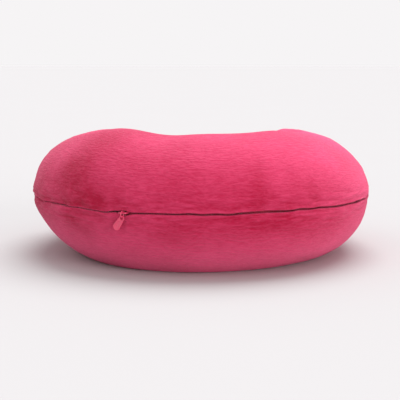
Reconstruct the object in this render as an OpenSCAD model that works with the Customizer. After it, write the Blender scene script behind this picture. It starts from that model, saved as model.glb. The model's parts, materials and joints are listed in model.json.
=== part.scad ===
// U-shaped neck pillow: a moulded foam core in a thin sewn liner, inside a
// plush cover that closes with a concealed zip in its outer seam.
// Millimetres, +Z up. The back of the neck rests at -Y and the arms reach
// towards +Y. The origin is at the middle of the footprint, on the floor.

/* [Overall size] */
// Width across the pillow, over the outer seam
pillow_w = 300; // [260:5:340]
// Height at the back of the neck
pillow_h = 112; // [95:1:130]
// Height of the arms
arm_h = 106; // [92:1:130]
// Height of the seam above the floor
seam_h = 53; // [48:1:64]
// Tilt of the seam, up towards +X, where the cover sits a little askew
seam_tilt = 0; // [-2:0.1:2]
// Length of the straighter stretch of each arm
arm_l = 80; // [50:5:110]
// Angle that the arms' tips turn inwards beyond that stretch
tip_turn = 25; // [15:1:35]

/* [Padded tube] */
// Width of the tube outside its own centreline
outer_half = 54; // [46:1:60]
// Width of the tube inside its centreline, at the back of the neck
nape_half = 40; // [32:1:46]
// The same in the arms
arm_half = 46; // [38:0.5:50]
// Length over which a tip rounds off
tip_round = 58; // [50:1:66]
// Roundness of the section: 2 is an ellipse, more is squarer
squareness = 2; // [2:0.1:2.6]
// How far the foam is pressed flat where it stands on the floor
foot_flat = 3; // [2:0.5:5]

/* [Cover and liner] */
// Thickness of the plush, pile included
plush_t = 1.8; // [1.2:0.1:2.4]
// Thickness at the hem, where the plush is turned in on itself
hem_t = 3.4; // [2.8:0.1:4.4]
// Height of the turned-in hem
hem_h = 11; // [8:1:14]
// Air between the cover and the liner, away from the seams
liner_gap = 1.2; // [0.8:0.1:2]
// Thickness of the knitted liner
liner_t = 0.6; // [0.4:0.1:1]
// Clearance between the liner and the foam
foam_gap = 0.5; // [0.4:0.1:1]
// Gap between the two panels where they are sewn
seam_gap = 0.1; // [0.05:0.05:0.2]

/* [Zip] */
// Angle of the closed zip's slider from the middle of the back
zip_start = -24; // [-40:1:0]
// Length of the zip's chain
zip_l = 220; // [160:5:240]
// Width of the slit that the slider's neck runs in
slit_w = 1.8; // [1.4:0.1:2.4]
// Width of each tape
tape_w = 13; // [10:1:16]
// Thickness of each tape
tape_t = 0.5; // [0.3:0.1:0.7]
// Radius of the coil, to the middle of its wire
coil_r = 0.95; // [0.85:0.05:1.1]
// Thickness of the coil's wire
coil_wire = 0.6; // [0.4:0.05:0.7]
// Distance from one turn of a coil to the next
coil_pitch = 2; // [1.8:0.1:3]
// Thickness of the slider's plate and walls
slider_t = 0.9; // [0.7:0.1:1.2]
// Length of the slider
slider_l = 8.5; // [7:0.5:11]
// Length of the pull tab beyond its eye
tab_l = 8; // [7:0.5:22]
// Width of the pull tab at its lower end
tab_w = 6; // [5:0.5:8]
// Thickness of the pull tab
tab_t = 1; // [0.8:0.1:1.2]
// Lean of the hanging pull tab from upright
tab_lean = 34; // [0:1:60]

/* [Thread and label] */
// Thickness of the sewing thread as it lies in a seam
thread_d = 0.4; // [0.3:0.05:0.5]
// Distance from one stitch to the next
stitch_pitch = 5; // [4:0.5:8]
// Width of the care label
label_w = 30; // [20:1:40]

/* [Hidden] */

// Colours
PLUSH = "#d93a66";
KNIT = "#f1ece4";
FOAM = "#f3e7b8";
TAPE = "#b02a50";
NYLON = "#c23358";
METAL = "#c8315a";
THREAD = "#b52b52";
SATIN = "#fbfbf7";

// The centreline is three arcs on each side: the round back, the straighter
// stretch of the arm, and the turn of the tip. Each is [radius, angle].
back_r = pillow_w / 2 - outer_half;
side_turn = 20;
tip_r = 110;
ARCS = [
  [back_r, 90],
  [arm_l / (side_turn * PI / 180), side_turn],
  [tip_r, tip_turn]
];
function arc_l(k) = ARCS[k][0] * ARCS[k][1] * PI / 180;
back_l = arc_l(0);
half_l = arc_l(0) + arc_l(1) + arc_l(2);

// [x, y, heading] after going u along arc k from p
function along(k, u, p) =
  let (r = ARCS[k][0], h = p[2], t = u / r * 180 / PI)
  [p.x + r * (sin(h + t) - sin(h)), p.y - r * (cos(h + t) - cos(h)), h + t];
function right_half(u) =
  let (
    a = along(0, min(u, back_l), [0, -back_r, 0]),
    b = along(1, min(max(u - back_l, 0), arc_l(1)), a)
  )
  along(2, max(u - back_l - arc_l(1), 0), b);
// s runs from one tip (negative) to the other, 0 at the middle of the back.
function centre(s) =
  let (c = right_half(abs(s)))
  s < 0 ? [-c.x, c.y, -c[2]] : c;

// How much of the full section is left at s, where a tip closes at l
function closing(s, l) =
  let (e = max(0, 1 - (l - abs(s)) / tip_round))
  sqrt(max(0, 1 - e * e));
function smooth(t) = let (u = min(max(t, 0), 1)) u * u * (3 - 2 * u);
function mixed(s, a, b) = a + (b - a) * smooth(abs(s) / back_l);

// The footprint is centred, so the back's arc has its centre a little off.
SPOTS = 80;
front_y = max([
  for (i = [0:SPOTS])
    let (s = half_l * i / SPOTS, c = centre(s))
    c.y - outer_half * closing(s, half_l) * cos(c[2])
]);
centre_y = (pillow_w / 2 - front_y) / 2;

// A point beside the centreline, off towards the outside and up from the
// seam, turned with the seam by its share of the tilt
function beside(s, off, up, share) =
  let (
    c = centre(s),
    x = c.x + off * sin(c[2]),
    a = seam_tilt * share
  )
  [x * cos(a) - up * sin(a), c.y - off * cos(c[2]) + centre_y, seam_h + x * sin(a) + up * cos(a)];
function on_floor(p, least) = [p.x, p.y, max(least, p.z)];

// Clearances: between layers of cloth, round a thread, under a coil, between
// the coils and the slider, and where the link and the tab swing. A seam's
// threads also clear the flats that its curve is made of.
cloth_gap = 0.3;
thread_gap = 0.3;
flats_gap = 0.35;
coil_gap = 0.2;
chain_gap = 0.35;
swing_gap = 0.15;

// Layers under the outer seam, as depths below the cover's surface
tape_q = hem_t + cloth_gap;
coil_out = coil_r + coil_wire / 2;
coil_q = tape_q + tape_t + coil_gap + coil_out;
plate_q = coil_q + coil_out + chain_gap;
slider_q = plate_q + slider_t;
liner_inset = plush_t + liner_gap;
foam_inset = liner_inset + liner_t + foam_gap;
outer_room = slider_q + 2 * thread_gap + thread_d - liner_inset;
inner_room = hem_t + flats_gap + 3 * thread_gap + 2 * thread_d - liner_inset;
room_h = 1.2 * tape_w;

// Half the gap between the panels: a slit where the neck of the slider runs
neck_t = coil_wire + 0.2;
neck_l = 2.4;
neck_gap = 0.2;
ramp_l = 8;
slit_over = 3;
chain_r = pillow_w / 2 - coil_q;
function as_angle(l) = l / chain_r * 180 / PI;
function on_back(angle) = back_r * angle * PI / 180;
slit_from = on_back(zip_start - slit_over);
slit_to = on_back(zip_start + as_angle(zip_l) + slit_over);
function slit(s) =
  1 - min(1, max(0, slit_from - s, s - slit_to) / ramp_l);
function half_gap(s, phi, zipped) =
  (seam_gap + (zipped ? (slit_w - seam_gap) * slit(s) * pow(max(0, cos(phi)), 2) : 0)) / 2;

// A point of the upper (up = 1) or lower (up = -1) skin. phi goes from the
// outer seam (0) over the crown (90) to the inner seam (180). The skin lies
// inset below the cover's surface, by a further hem and by the seam's room.
function skin_point(s, phi, up, inset, hem = 0, roomy = false, zipped = false) =
  let (
    k = closing(s, half_l - inset),
    g = pow(abs(cos(phi)), 2 / squareness),
    f = pow(sin(phi), 2 / squareness),
    rim = half_gap(s, phi, zipped),
    top = mixed(s, pillow_h, arm_h) - seam_h,
    h = up > 0 ? top : seam_h + foot_flat,
    d = rim + (h - inset - rim) * f * k,
    side = cos(phi) > 0 ? 1 : -1,
    half = side > 0 ? outer_half : mixed(s, nape_half, arm_half),
    most = side > 0 ? outer_room : inner_room,
    room = roomy ? most * exp(-pow(d / room_h, 2)) : 0,
    share = 1 - smooth((d / h - 0.3) / 0.65)
  )
  on_floor(beside(s, side * g * k * (half - inset - hem - room), up * d, share), inset);

// Where the sections stand: close together where a tip rounds off
TIP_ROWS = 7;
function stations(l, n) = concat(
  [for (k = [1:TIP_ROWS]) -l + tip_round * (1 - cos(90 * k / TIP_ROWS))],
  [for (i = [1:n - 1]) (l - tip_round) * (2 * i / n - 1)],
  [for (k = [TIP_ROWS:-1:1]) l - tip_round * (1 - cos(90 * k / TIP_ROWS))]
);

// Angles of a section's points, each with 1 where it lies on the hem
COVER_OUT = [for (a = [0, 4, 9, 15, 22, 30, 39, 49, 60, 72, 90]) [a, 0]];
hem_phi = asin(pow(hem_h / (seam_h - plush_t), squareness / 2));
COVER_IN = concat(
  [[0, 1], [hem_phi / 2, 1], [hem_phi, 1], [hem_phi, 0]],
  [for (a = [17, 27, 40, 55, 72, 90]) [a, 0]]
);
INNER = [for (a = [0, 7, 15, 27, 45, 72, 90]) [a, 0]];
function both_sides(q) = concat(q, [
  for (i = [len(q) - 2:-1:0]) [180 - q[i][0], q[i][1]]
]);

function flat(rows) = [for (row = rows) each row];
function turned(faces, up) =
  up > 0 ? faces : [for (f = faces) [for (i = [len(f) - 1:-1:0]) f[i]]];

// A grid of r rows of m points, starting at point o, with a pole at each end
function sheet(r, m, o, first, last) = concat(
  [
    for (i = [0:r - 2], j = [0:m - 2])
      let (a = o + i * m + j)
      each [[a, a + 1, a + m + 1], [a, a + m + 1, a + m]]
  ],
  [for (j = [0:m - 2]) [first, o + j + 1, o + j]],
  [for (j = [0:m - 2]) let (a = o + (r - 1) * m + j) [a, a + 1, last]]
);
// The strip that joins the grids' edges j and k, ends included
function rim(r, m, n, o, p, j, k, poles) =
  let (
    a = concat(poles[0], [for (i = [0:r - 1]) o + i * m + j], poles[1]),
    b = concat(poles[2], [for (i = [0:r - 1]) p + i * n + k], poles[3])
  )
  [
    for (i = [0:len(a) - 2])
      each [[a[i], a[i + 1], b[i + 1]], [a[i], b[i + 1], b[i]]]
  ];

// A skin between two grids: half of a cover or of a liner
module skin(up, inset, t, outside, inside, n, hem, roomy, zipped) {
  a = both_sides(outside);
  b = both_sides(inside);
  rows = stations(half_l - inset, n);
  under = stations(half_l - inset - t, n);
  r = len(rows);
  o = 0;
  p = r * len(a);
  end = p + r * len(b);
  points = concat(
    flat([for (s = rows) [
      for (q = a) skin_point(s, q[0], up, inset, 0, roomy, zipped)
    ]]),
    flat([for (s = under) [
      for (q = b) skin_point(s, q[0], up, inset + t, hem * q[1], roomy, zipped)
    ]]),
    [
      for (d = [inset, inset + t], side = [-1, 1])
        beside(side * (half_l - d), 0, up * half_gap(0, 90, zipped), 1)
    ]
  );
  faces = concat(
    sheet(r, len(a), o, end, end + 1),
    turned(sheet(r, len(b), p, end + 2, end + 3), -1),
    rim(r, len(a), len(b), o, p, 0, 0, [end, end + 1, end + 2, end + 3]),
    turned(
      rim(r, len(a), len(b), o, p, len(a) - 1, len(b) - 1,
        [end, end + 1, end + 2, end + 3]),
      -1
    )
  );
  polyhedron(points, turned(faces, up));
}

module foam_core() {
  rows = stations(half_l - foam_inset, INNER_ROWS);
  loop = both_sides(INNER);
  m = 2 * len(loop) - 2;
  r = len(rows);
  points = concat(
    flat([for (s = rows) concat(
      [for (q = loop) skin_point(s, q[0], 1, foam_inset, 0, true)],
      [
        for (i = [len(loop) - 2:-1:1])
          skin_point(s, loop[i][0], -1, foam_inset, 0, true)
      ]
    )]),
    [for (side = [-1, 1]) beside(side * (half_l - foam_inset), 0, 0, 1)]
  );
  faces = concat(
    [
      for (i = [0:r - 2], j = [0:m - 1])
        let (a = i * m + j, b = i * m + (j + 1) % m)
        each [[a, b, b + m], [a, b + m, a + m]]
    ],
    [for (j = [0:m - 1]) [r * m, (j + 1) % m, j]],
    [for (j = [0:m - 1]) [(r - 1) * m + j, (r - 1) * m + (j + 1) % m, r * m + 1]]
  );
  color(FOAM) polyhedron(points, faces);
}

COVER_ROWS = 52;
INNER_ROWS = 32;
module cover_half(up) {
  color(PLUSH)
    skin(up, 0, plush_t, COVER_OUT, COVER_IN, COVER_ROWS, hem_t - plush_t, false, true);
}
module liner_half(up) {
  color(KNIT)
    skin(up, liner_inset, liner_t, INNER, INNER, INNER_ROWS, 0, true, false);
}

// One stitch, a round thread from a to b
module stitch(a, b, d = thread_d) {
  v = b - a;
  translate(a)
    rotate([0, acos(v.z / norm(v)), atan2(v.y, v.x)])
      cylinder(h = norm(v), d = d, $fn = 16);
}
// A row of stitches along a seam, under the skin that lies inset below the
// surface; depth is the thread's own depth below that skin
STITCH_SHARE = 0.72;
module seam_row(from, to, phi, inset, depth, roomy) {
  side = phi < 90 ? outer_half : arm_half;
  step = stitch_pitch * back_r / (back_r + (phi < 90 ? side : -side));
  n = floor((to - from) / step);
  for (i = [0:n - 1])
    let (s = from + i * step)
    stitch(
      skin_point(s, phi, 1, inset, depth, roomy),
      skin_point(s + step * STITCH_SHARE, phi, 1, inset, depth, roomy)
    );
}
sewn_l = half_l - tip_round * 0.6;
hem_depth = hem_t - plush_t + flats_gap + thread_gap + thread_d / 2;
module outer_seam_stitching() {
  color(THREAD) {
    seam_row(-sewn_l, slit_from - ramp_l - tail_l, 0, plush_t, hem_depth, false);
    seam_row(slit_to + ramp_l + tail_l, sewn_l, 0, plush_t, hem_depth, false);
  }
}
module inner_seam_stitching() {
  color(THREAD) seam_row(-sewn_l, sewn_l, 180, plush_t, hem_depth, false);
}
module liner_stitching() {
  depth = -thread_gap - thread_d / 2;
  color(KNIT)
    for (phi = [0, 180]) seam_row(-sewn_l, sewn_l, phi, liner_inset, depth, true);
}

// The zip follows the back's arc. Its local frame has X along the seam, Y
// inwards from the cover's surface and Z up.
module on_seam() {
  translate([0, centre_y, seam_h]) rotate([0, -seam_tilt, 0]) children();
}
module at_zip(angle) {
  on_seam() rotate(angle) translate([0, -pillow_w / 2, 0]) children();
}
module zip_band(from, to) {
  on_seam() rotate(from - 90) rotate_extrude(angle = to - from) children();
}

first_turn = zip_start + as_angle(neck_l / 2 + 1);
turns = floor(zip_l / coil_pitch);
last_turn = first_turn + as_angle(coil_pitch) * (turns - 0.5);
cord_r = coil_r - coil_wire / 2 - 0.1;
coil_z = (coil_out + cord_r) / 2 + 0.1;
stop_l = 2.2;
stop_gap = 0.4;
tail_l = 10;
cord_from = zip_start - as_angle(neck_l / 2 + stop_gap + stop_l);
cord_to = last_turn + as_angle(coil_wire + stop_gap);
tape_from = cord_from - as_angle(tail_l);
tape_to = cord_to + as_angle(stop_l + tail_l);
tape_edge = neck_t / 2 + neck_gap;

// Depth that a tape leans in by with the cover, at z above the seam
function tape_lean(z) =
  outer_half * (1 - pow(1 - pow(tape_w / (pillow_h - seam_h), squareness), 1 / squareness))
  * (abs(z) - tape_edge) / (tape_w - tape_edge);
module zip_tape(up) {
  r = pillow_w / 2 - tape_q;
  color(TAPE) zip_band(tape_from, tape_to)
    polygon([
      [r, up * tape_edge],
      [r - tape_lean(tape_w), up * tape_w],
      [r - tape_lean(tape_w) - tape_t, up * tape_w],
      [r - tape_t, up * tape_edge]
    ]);
}
module zip_coil(up) {
  color(NYLON)
    for (i = [0:turns - 1])
      at_zip(first_turn + as_angle(coil_pitch) * (i + (up > 0 ? 0 : 0.5)))
        translate([0, coil_q, up * coil_z])
          rotate([0, 90, 0])
            rotate_extrude($fn = 24) translate([coil_r, 0]) circle(d = coil_wire, $fn = 16);
}
module zip_cord(up) {
  color(TAPE) zip_band(cord_from, cord_to)
    translate([chain_r, up * coil_z]) circle(r = cord_r, $fn = 16);
}
module tape_stitching(up) {
  z = up * (hem_h - 4);
  q = tape_q + tape_t + tape_lean(z) + thread_gap + thread_d / 2;
  step = stitch_pitch / chain_r * 180 / PI;
  color(THREAD)
    for (a = [tape_from + step / 2:step:tape_to - step])
      at_zip(a) stitch([0, q, z], [stitch_pitch * STITCH_SHARE, q, z]);
}

// A crimped stop on each cord's end, and one across both where the zip opens
module zip_top_stops() {
  h = 2 * coil_z - 0.2;
  color(METAL)
    at_zip(zip_start)
      for (up = [-1, 1])
        translate([-neck_l / 2 - stop_gap - stop_l, coil_q, up * coil_z])
          difference() {
            translate([0, -coil_out, -h / 2]) cube([stop_l, 2 * coil_out, h]);
            translate([-1, 0, 0]) rotate([0, 90, 0])
              cylinder(h = stop_l + 2, r = cord_r + 0.05, $fn = 24);
          }
}
module zip_bottom_stop() {
  color(METAL)
    at_zip(cord_to + as_angle(0.2))
      translate([0, coil_q - coil_out, -coil_z - cord_r])
        cube([stop_l, 2 * coil_out, 2 * (coil_z + cord_r)]);
}
module end_tack(from) {
  reach = 3;
  q = tape_q + tape_t + tape_lean(reach) + thread_gap + thread_d / 2;
  pitch = 1.2;
  color(THREAD)
    at_zip(from)
      for (i = [0:4])
        stitch([i * pitch, q, -reach], [i * pitch, q, reach]);
}

// The slider: a plate and two walls behind the chain, a neck out through the
// slit, and a bail outside for the link
wall_z = coil_z + coil_out + chain_gap;
wall_q = coil_q - coil_r / 2;
bail_w = 6.8;
bail_bar = 1.1;
bail_q = -3.1;
bail_leg = 1.2;
ring_r = 2.4;
ring_wire = 0.8;
ring_drop = ring_r - ring_wire / 2 - norm([bail_bar, neck_t]) / 2 - swing_gap;
module rounded(w, h, r) {
  for (x = [-1, 1], y = [-1, 1])
    translate([x * (w / 2 - r), y * (h / 2 - r)]) circle(r = r, $fn = 24);
  square([w - 2 * r, h], center = true);
  square([w, h - 2 * r], center = true);
}
// A flat shape drawn in X and Z, from depth q inwards by t
module standing(q, t) {
  translate([0, q + t, 0]) rotate([90, 0, 0]) linear_extrude(t) children();
}
module zip_slider() {
  body_x = slider_l / 2 - neck_l / 2 - 0.6;
  wall_l = slider_l - 2;
  color(METAL) at_zip(zip_start) {
    translate([body_x, 0, 0])
      standing(plate_q, slider_t) rounded(slider_l, 2 * (wall_z + slider_t), 1.4);
    for (z = [wall_z, -wall_z - slider_t])
      translate([body_x - wall_l / 2, wall_q, z])
        cube([wall_l, plate_q - wall_q, slider_t]);
    translate([-neck_l / 2, -0.5, -neck_t / 2])
      cube([neck_l, plate_q + 0.5, neck_t]);
    translate([0, 0, -neck_t / 2])
      linear_extrude(neck_t)
        difference() {
          translate([0, (bail_q - bail_bar / 2 + hem_t - 0.4) / 2])
            rounded(bail_w, hem_t - 0.4 - bail_q + bail_bar / 2, 1);
          translate([0, (bail_q + bail_bar / 2 - 0.2) / 2])
            rounded(bail_w - 2 * bail_leg, -0.2 - bail_q - bail_bar / 2, 0.8);
        }
  }
}
module zip_pull_link() {
  color(METAL)
    at_zip(zip_start)
      translate([0, bail_q, -ring_drop])
        rotate([0, 90, 0])
          rotate_extrude($fn = 32) translate([ring_r, 0]) circle(d = ring_wire, $fn = 16);
}

// The tab hangs from the lowest point of the link, leaning a little
eye_hole = 1.3;
eye_r = eye_hole + 0.9;
grip_depth = 0.25;
module tapered(r1, r2, l) {
  lean = asin((r2 - r1) / l);
  circle(r = r1, $fn = 32);
  translate([0, -l]) circle(r = r2, $fn = 32);
  polygon([
    for (e = [[r1, 1], [r1, -1], [r2, -1], [r2, 1]])
      [e[1] * e[0] * cos(lean), e[0] * sin(lean) - (e[0] == r2 ? l : 0)]
  ]);
}
module zip_pull_tab() {
  wire_z = -ring_drop - ring_r;
  eye_z = -(eye_hole - ring_wire / 2 - swing_gap);
  margin = 0.9;
  color(METAL)
    at_zip(zip_start)
      translate([0, bail_q, wire_z])
        rotate([0, tab_lean, 0])
          translate([0, 0, eye_z])
            difference() {
              standing(-tab_t / 2, tab_t) tapered(eye_r, tab_w / 2, tab_l);
              standing(-tab_t, 2 * tab_t) circle(r = eye_hole, $fn = 32);
              translate([0, 0, -eye_r - 2])
                standing(-tab_t, tab_t / 2 + grip_depth)
                  tapered(eye_r - margin, tab_w / 2 - margin, tab_l - eye_r - 2);
            }
}

// A folded satin label, sewn flat against the inside of the lower panel
module care_label() {
  t = 0.5;
  q = plush_t + 0.3;
  h = seam_h + foot_flat;
  phis = [17, 27, 40];
  function edge(inset) = [
    for (a = phis)
      [
        back_r + pow(cos(a), 2 / squareness) * (outer_half - inset),
        -(h - inset) * pow(sin(a), 2 / squareness)
      ]
  ];
  out = edge(q);
  in = edge(q + t);
  from = tape_to - as_angle(label_w + 30);
  color(SATIN)
    zip_band(from, from + as_angle(label_w))
      polygon(concat(out, [for (i = [len(in) - 1:-1:0]) in[i]]));
}

foam_core();
liner_half(1);  // liner_top
liner_half(-1);  // liner_bottom
liner_stitching();
cover_half(1);  // cover_top_panel
cover_half(-1);  // cover_bottom_panel
outer_seam_stitching();
inner_seam_stitching();
zip_tape(1);  // zip_tape_upper
zip_tape(-1);  // zip_tape_lower
zip_coil(1);  // zip_coil_upper
zip_coil(-1);  // zip_coil_lower
zip_cord(1);  // zip_cord_upper
zip_cord(-1);  // zip_cord_lower
tape_stitching(1);  // zip_tape_stitching_upper
tape_stitching(-1);  // zip_tape_stitching_lower
zip_top_stops();
zip_bottom_stop();
end_tack(tape_from + as_angle(2));  // zip_end_tack_left
end_tack(tape_to - as_angle(7));  // zip_end_tack_right
zip_slider();
zip_pull_link();
zip_pull_tab();
care_label();
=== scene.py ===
"""A U-shaped neck pillow: a plush cover with a concealed zip over a lined foam core.

The packed model is the fixed frame. Each operator makes one piece, or a group of like
pieces, at the place that the frame gives, and main() calls them in order.
"""

import json
import math

import bpy
import numpy as np
from bpy.props import FloatProperty, FloatVectorProperty, IntProperty, PointerProperty
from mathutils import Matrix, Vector


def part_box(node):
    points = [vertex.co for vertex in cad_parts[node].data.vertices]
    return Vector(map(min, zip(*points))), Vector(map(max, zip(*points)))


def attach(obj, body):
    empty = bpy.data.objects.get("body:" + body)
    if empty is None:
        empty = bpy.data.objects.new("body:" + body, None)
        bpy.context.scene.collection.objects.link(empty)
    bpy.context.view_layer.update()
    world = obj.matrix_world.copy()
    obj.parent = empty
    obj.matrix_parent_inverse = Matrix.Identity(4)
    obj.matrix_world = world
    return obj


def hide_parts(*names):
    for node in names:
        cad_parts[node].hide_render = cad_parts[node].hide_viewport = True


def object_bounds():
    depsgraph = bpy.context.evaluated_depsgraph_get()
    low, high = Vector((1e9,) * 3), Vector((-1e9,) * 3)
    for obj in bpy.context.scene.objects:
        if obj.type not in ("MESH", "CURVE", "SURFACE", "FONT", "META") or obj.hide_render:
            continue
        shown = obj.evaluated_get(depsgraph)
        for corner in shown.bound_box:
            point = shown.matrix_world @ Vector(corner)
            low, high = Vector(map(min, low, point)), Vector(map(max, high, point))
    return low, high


bl_info = {
    "name": "U-Shaped Neck Pillow",
    "version": (1, 0, 0),
    "blender": (4, 5, 0),
    "location": "3D View > Sidebar > Neck Pillow",
    "description": "Plush cover, lined foam core and concealed zip of a neck pillow",
    "category": "Add Mesh",
}

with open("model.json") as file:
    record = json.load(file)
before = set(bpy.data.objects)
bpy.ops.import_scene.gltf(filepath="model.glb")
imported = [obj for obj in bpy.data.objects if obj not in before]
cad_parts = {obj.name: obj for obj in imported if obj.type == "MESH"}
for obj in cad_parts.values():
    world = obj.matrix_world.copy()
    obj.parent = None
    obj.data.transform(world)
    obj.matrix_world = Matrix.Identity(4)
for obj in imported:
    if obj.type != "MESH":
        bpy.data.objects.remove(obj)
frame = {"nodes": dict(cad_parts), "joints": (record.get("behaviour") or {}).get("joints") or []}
CAD_LOW, CAD_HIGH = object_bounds()
JOINTS = {joint["name"]: joint for joint in frame["joints"]}

# The back is an arc about the axis that the zip's slider turns on. The seam is square
# to that axis.
ARC = Vector(JOINTS["zip_slide"]["pos_m"])
ARC_AXIS = Vector(JOINTS["zip_slide"]["axis"])
SEAM_TILT = math.atan2(-ARC_AXIS.x, ARC_AXIS.z)
BAIL = Vector(JOINTS["link_lift"]["pos_m"])
SLIDER_ANGLE = math.atan2(BAIL.x, ARC.y - BAIL.y)
SLIDER_TRAVEL = math.radians(JOINTS["zip_slide"]["range_deg"][1])
END_ANGLE = SLIDER_ANGLE + SLIDER_TRAVEL
CROWN_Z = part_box("cover_top_panel")[1].z
QUARTER = math.pi / 2
MERGE_WITHIN = 2e-6


# ---------------------------------------------------------------- settings


def length(name, text, default):
    return FloatProperty(name=name, description=text, default=default, unit="LENGTH", precision=4)


def angle(name, text, degrees):
    return FloatProperty(
        name=name, description=text, default=math.radians(degrees), subtype="ANGLE"
    )


def colour(name, text, rgb):
    return FloatVectorProperty(
        name=name, description=text, default=rgb, subtype="COLOR", size=3, min=0, max=1
    )


class PillowShape(bpy.types.PropertyGroup):
    """The padded tube that the cover, the liner and the foam share."""

    width: length("Width", "Width over the outer seam", round(CAD_HIGH.x - CAD_LOW.x, 3))
    outer_half: length("Outer half", "Width of the tube outside its centreline", 0.054)
    nape_half: length("Nape half", "Width inside the centreline at the back", 0.040)
    arm_half: length("Arm half", "Width inside the centreline in the arms", 0.046)
    arm_drop: length("Arm drop", "How much lower the arms are than the back", 0.0075)
    arm_length: length("Arm length", "Straighter stretch of each arm", 0.080)
    side_turn: angle("Side turn", "Angle that the straighter stretch turns", 20)
    tip_radius: length("Tip radius", "Radius of the tips' inward turn", 0.110)
    tip_turn: angle("Tip turn", "Angle of the tips' inward turn", 25)
    tip_round: length("Tip round", "Length over which a tip rounds off", 0.058)
    foot_flat: length("Foot flat", "How far the foot is pressed flat", 0.003)
    squareness: FloatProperty(
        name="Squareness", description="Section: 2 is an ellipse", default=2.0, min=1.5, max=3
    )
    arm_squareness: FloatProperty(
        name="Arm squareness", description="The same in the arms and underneath", default=1.8
    )
    slump: length("Slump", "How far the filling settles towards the right arm", 0.0045)
    shoulder: length("Shoulder", "How far the tube rises either side of the nape", 0.0042)
    shoulder_at: length("Shoulder place", "Where, from the middle of the back", 0.074)


class PillowCover(bpy.types.PropertyGroup):
    """The plush panels and how they lie over the foam."""

    thickness: length("Thickness", "Thickness of the plush without its pile", 0.0015)
    hem_height: length("Hem height", "Height of the turned-in hem", 0.011)
    sewn_gap: length("Sewn gap", "Half the gap where the panels are sewn", 0.00006)
    zip_gap: length("Zip gap", "Half the gap where the zip lies behind", 0.00036)
    swell: length("Swell", "How far the plush stands out beside a seam", 0.0008)
    pucker: length("Pucker", "Depth of the gathers along a seam", 0.0006)
    pile: length("Pile", "Depth of the brushed streaks", 0.00010)
    growth: FloatProperty(
        name="Growth", description="Share by which the cloth is cut larger", default=0.035
    )
    pressure: FloatProperty(name="Pressure", description="Push of the foam", default=4.0)
    steps: IntProperty(name="Steps", description="Frames of cloth simulation", default=20)
    # Deep and bright are the two ends of the pile's tone, and between them they also give the painted
    # shade and painted light.
    deep: colour("Deep", "Pile brushed towards the eye", (0.35, 0.003, 0.032))
    bright: colour("Bright", "Pile brushed away from the eye", (0.81, 0.078, 0.205))
    sheen: colour("Sheen", "Tint of the pile's tips", (1.0, 0.60, 0.75))


class PillowLining(bpy.types.PropertyGroup):
    """The knitted liner and the foam core."""

    liner_inset: length("Liner inset", "Depth of the liner below the cover", 0.0030)
    liner_thickness: length("Liner thickness", "Thickness of the knit", 0.0006)
    foam_inset: length("Foam inset", "Depth of the foam below the cover", 0.0041)
    outer_room: length("Outer room", "Room for the zip at the outer seam", 0.0064)
    inner_room: length("Inner room", "Room for the hems at the inner seam", 0.0024)
    room_height: length("Room height", "Height over which that room fades", 0.0156)
    knit: colour("Knit", "The liner's undyed knit", (0.83, 0.80, 0.74))
    foam: colour("Foam", "The moulded foam", (0.86, 0.74, 0.44))


class PillowZip(bpy.types.PropertyGroup):
    """The concealed zip."""

    coil_radius: length("Coil radius", "To the middle of the coil's wire", 0.00095)
    coil_wire: length("Coil wire", "Thickness of the wire", 0.0006)
    coil_pitch: length("Coil pitch", "Length of one turn", 0.002)
    coil_points: IntProperty(name="Coil points", description="Points per turn", default=14)
    coil_turns: IntProperty(name="Coil turns", description="Turns of each coil", default=109)
    coil_lead: length("Coil lead", "From the closed slider's middle to the coils", 0.0022)
    bevel: length("Bevel", "Rounding of the cast edges", 0.00012)
    cloth: colour("Tape", "Dyed tape", (0.46, 0.012, 0.045))
    nylon: colour("Coil", "Dyed nylon coil", (0.58, 0.018, 0.065))
    enamel: colour("Enamel", "Enamelled metal", (0.58, 0.028, 0.095))
    thread: colour("Thread", "Sewing thread", (0.42, 0.02, 0.07))


class PillowStage(bpy.types.PropertyGroup):
    """Camera, floor and lights."""

    distance: length("Distance", "Camera to the middle of the back's arc", 0.9375)
    aim_height: length("Aim height", "Height that the camera looks at", 0.05625)
    height_angle: angle("Height angle", "Camera above the horizontal", 7.0)
    side_angle: angle("Side angle", "Camera round from straight behind", -0.2)
    lens: FloatProperty(name="Lens", description="Focal length in mm", default=92.7)
    shift_x: FloatProperty(name="Shift X", description="Lens shift", default=-0.0045)
    shift_y: FloatProperty(name="Shift Y", description="Lens shift", default=-0.0325)
    floor: colour("Floor", "Matte table", (0.482, 0.474, 0.478))
    wall: colour("Wall", "Wall of the room, level with the table", (0.922, 0.905, 0.913))
    ceiling: FloatProperty(name="Ceiling", description="Ceiling against the wall", default=1.0)
    key: FloatProperty(name="Key", description="Overhead softbox, W/m2", default=3.0)
    key_spread: angle("Key spread", "Width of the overhead softbox", 50)
    key_lean: angle("Key lean", "How far it stands to the right of overhead", 12)
    key_front: angle("Key front", "How far it stands in front of overhead", -20)
    fill: FloatProperty(name="Fill", description="Low softbox in front, W/m2", default=2.4)
    fill_spread: angle("Fill spread", "Width of the low softbox", 40)
    fill_side: angle("Fill side", "How far it stands round to the right", 38)
    fill_height: angle("Fill height", "How far it stands above the table", 5)


GROUPS = (PillowShape, PillowCover, PillowLining, PillowZip, PillowStage)


def settings(group):
    return getattr(bpy.context.scene, group.__name__)


# ---------------------------------------------------------------- the tube


def arcs():
    """Radius and angle of the three arcs on each side: back, arm and tip."""
    p = settings(PillowShape)
    back = p.width / 2 - p.outer_half
    return ((back, QUARTER), (p.arm_length / p.side_turn, p.side_turn), (p.tip_radius, p.tip_turn))


def back_length():
    radius, turn = arcs()[0]
    return radius * turn


def half_length():
    return sum(radius * turn for radius, turn in arcs())


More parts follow.
